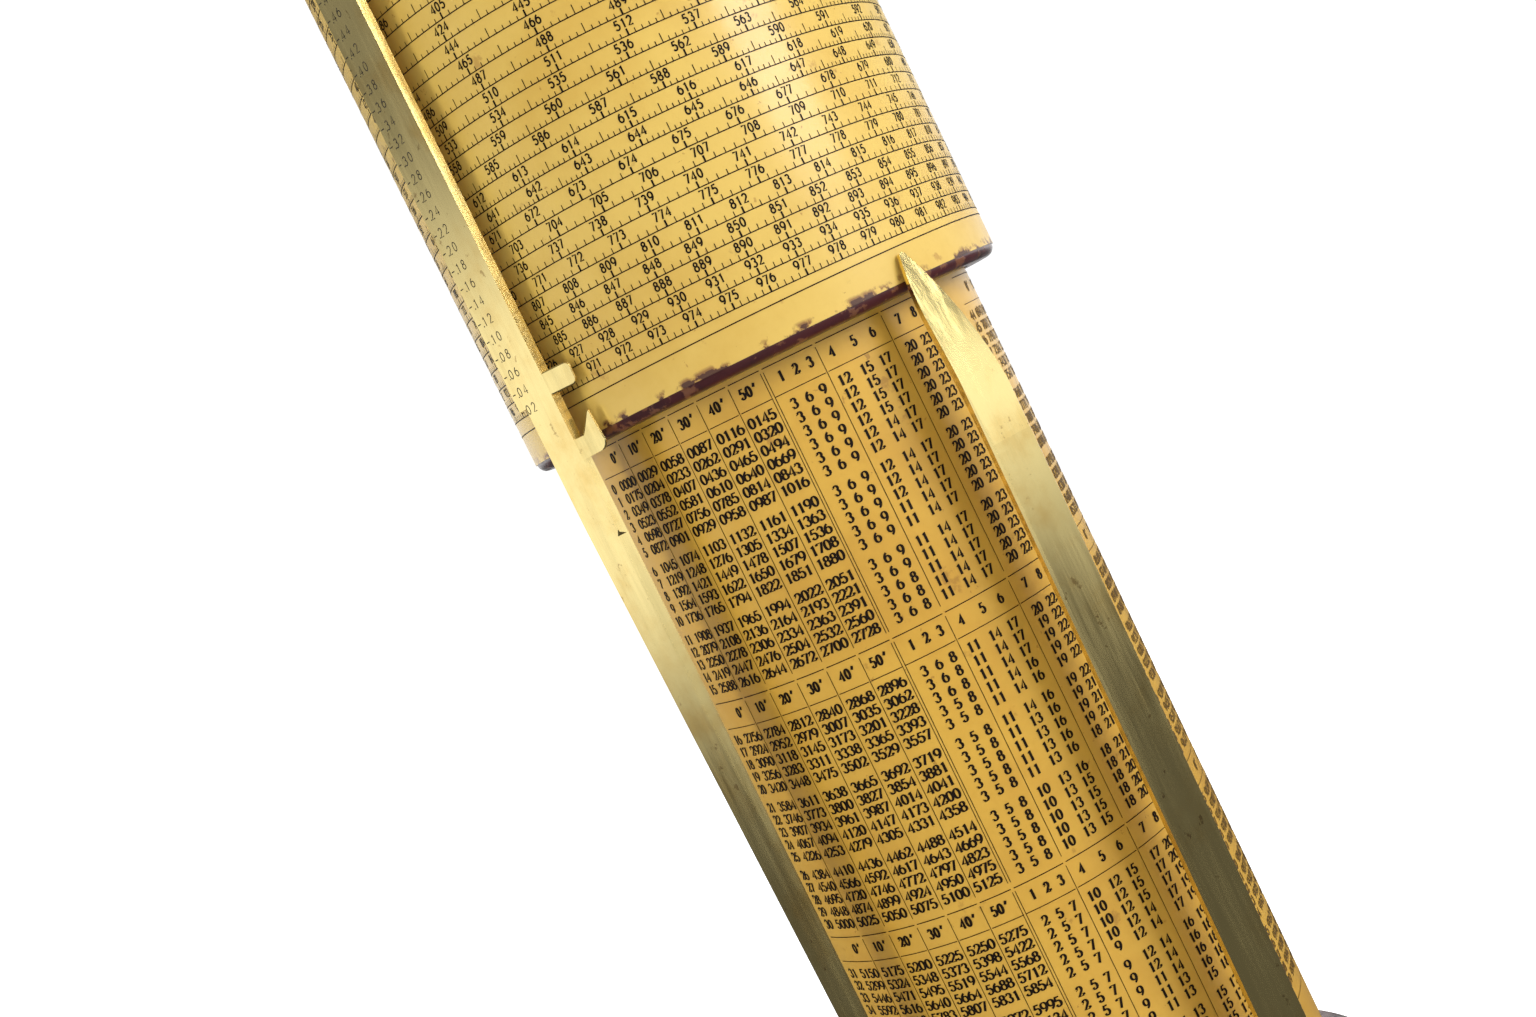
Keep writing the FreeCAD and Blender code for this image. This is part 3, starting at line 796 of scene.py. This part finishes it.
def turned_steel():
    """Steel with the turning marks round the axis."""
    dark, bright = (0.30, 0.30, 0.31), (0.55, 0.55, 0.56)
    steel = Finish("turned_steel")
    turned = steel.group(scratches, place=steel.stretched(6), Size=1200)
    steel.link(steel.blend(turned.outputs[0], dark, bright), steel.shader.inputs["Base Color"])
    steel.link(steel.map(turned.outputs[0], 0.25, 0.5), steel.shader.inputs["Roughness"])
    steel.set(Metallic=1.0)
    return steel.material


FLOOR_GLOW_AROUND, FLOOR_GLOW_SEEN = 0.12, 0.75
FLOOR_REACH = 12.0
FLOOR_GAP = 0.0002


def floor_paint():
    """Plain pale floor; its glow lifts it to the brightness of the backdrop."""
    pale, paler = (0.90, 0.90, 0.90), (0.93, 0.93, 0.93)
    floor = Finish("pale_floor")
    cloud = floor.group(blotches, Size=3, Cover=0.5, Edge=0.4)
    floor.link(floor.blend(cloud.outputs[0], paler, pale), floor.shader.inputs["Base Color"])
    floor.set(Roughness=0.7, Emission_Color=WHITE)
    path = floor.node("ShaderNodeLightPath")
    glow = floor.map(path.outputs["Is Camera Ray"], FLOOR_GLOW_AROUND, FLOOR_GLOW_SEEN)
    floor.link(glow, floor.shader.inputs["Emission Strength"])
    return floor.material


def lay_floor():
    mesh = bpy.data.meshes.new("floor")
    corners = [(x * FLOOR_REACH, y * FLOOR_REACH, 0) for x, y in ((-1, -1), (1, -1), (1, 1), (-1, 1))]
    mesh.from_pydata(corners, [], [(0, 1, 2, 3)])
    mesh.materials.append(floor_paint())
    floor = bpy.data.objects.new("floor", mesh)
    bpy.context.scene.collection.objects.link(floor)
    floor.location.z = cad_box[0].z - FLOOR_GAP
    floor.visible_glossy = False


def give(node, material):
    """A CAD node takes a finish."""
    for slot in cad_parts[node].material_slots:
        slot.material = material


# ---------------------------------------------------------------- making it all

bpy.context.scene.view_settings.view_transform = "Standard"
place_camera()
studio_world()
soft_box("key", azimuth=289, height=0.52, distance=0.62, size=(0.28, 0.36), power=3.9)
soft_box("left", azimuth=172, height=0.40, distance=0.7, size=(0.16, 0.5), power=1.9, shines=False)
soft_box("front", azimuth=225, height=0.75, distance=1.0, size=(0.5, 0.5), power=1.0, shines=False)
soft_box("back", azimuth=50, height=0.7, distance=1.0, size=(0.6, 0.6), power=4)
lay_floor()

scale_print_paper = varnished_paper("scale_paper_varnish", light=(0.66, 0.45, 0.10),
                                    deep=(0.56, 0.34, 0.055), stain=(0.34, 0.16, 0.03),
                                    worn_end=scale_paper_low.z / 1000)
table_print_paper = varnished_paper("table_paper_varnish", light=(0.60, 0.35, 0.045),
                                    deep=(0.48, 0.25, 0.025), stain=(0.26, 0.11, 0.018))
inner_print_paper = varnished_paper("inner_paper_varnish", light=(0.64, 0.42, 0.10),
                                    deep=(0.54, 0.31, 0.055), stain=(0.30, 0.13, 0.02))
ink = printing_ink("printing_ink", dark=(0.010, 0.005, 0.002), faded=(0.055, 0.027, 0.006), fade=0.35)
pale_ink = printing_ink("sun_faded_ink", dark=(0.12, 0.065, 0.014), faded=(0.24, 0.13, 0.025), fade=0.7)
brass = polished_brass()
lacquer = red_lacquer()
wood = mahogany()
felt = felt_cloth()
steel = turned_steel()
engraving = dark_engraving()

for node in ("handle_grip", "handle_flange", "top_cap"):
    give(node, wood)
for node in ("stand_socket", "holder_brads", "fixed_pointer", "pointer_screws", "cap_brads", "index_bar",
             "upper_index", "lower_index", "reading_tongue", "bar_screws"):
    give(node, brass)
for node in ("holder_lining", "scale_lining_lower", "scale_lining_upper", "inner_lining"):
    give(node, felt)
for node in ("holder_tube", "scale_tube", "inner_tube"):
    give(node, lacquer)
give("core_screw", steel)
give("holder_paper", table_print_paper)
give("scale_paper", scale_print_paper)
give("inner_paper", inner_print_paper)

line, ticks = print_spiral()
add_print("spiral_line", line, ink, "scale_cylinder")
add_print("spiral_graduations", ticks, ink, "scale_cylinder")
for first in (100, 400, 700):
    numbers = print_scale_numbers(first, first + 300)
    add_print("spiral_numbers_%d" % first, numbers, ink, "scale_cylinder")

# Three tables stand side by side round the holder, each a third of a turn from the last.
for label, third, first_degree, value, difference, print_ink in (
        ("low_sines", 0, 0, sine, sine_step, ink),
        ("high_sines", 1, 44, sine, sine_step, pale_ink),
        ("tangents", 2, 0, tangent, tangent_step, pale_ink)):
    figures, rules = print_table(TABLE_AZIMUTH + third * TURN / 3, first_degree, value, difference)
    add_print(label + "_figures", figures, print_ink, "holder")
    add_print(label + "_rules", rules, print_ink, "holder")

add_print("bar_engraving", engrave_bar(), engraving, "index_tube")
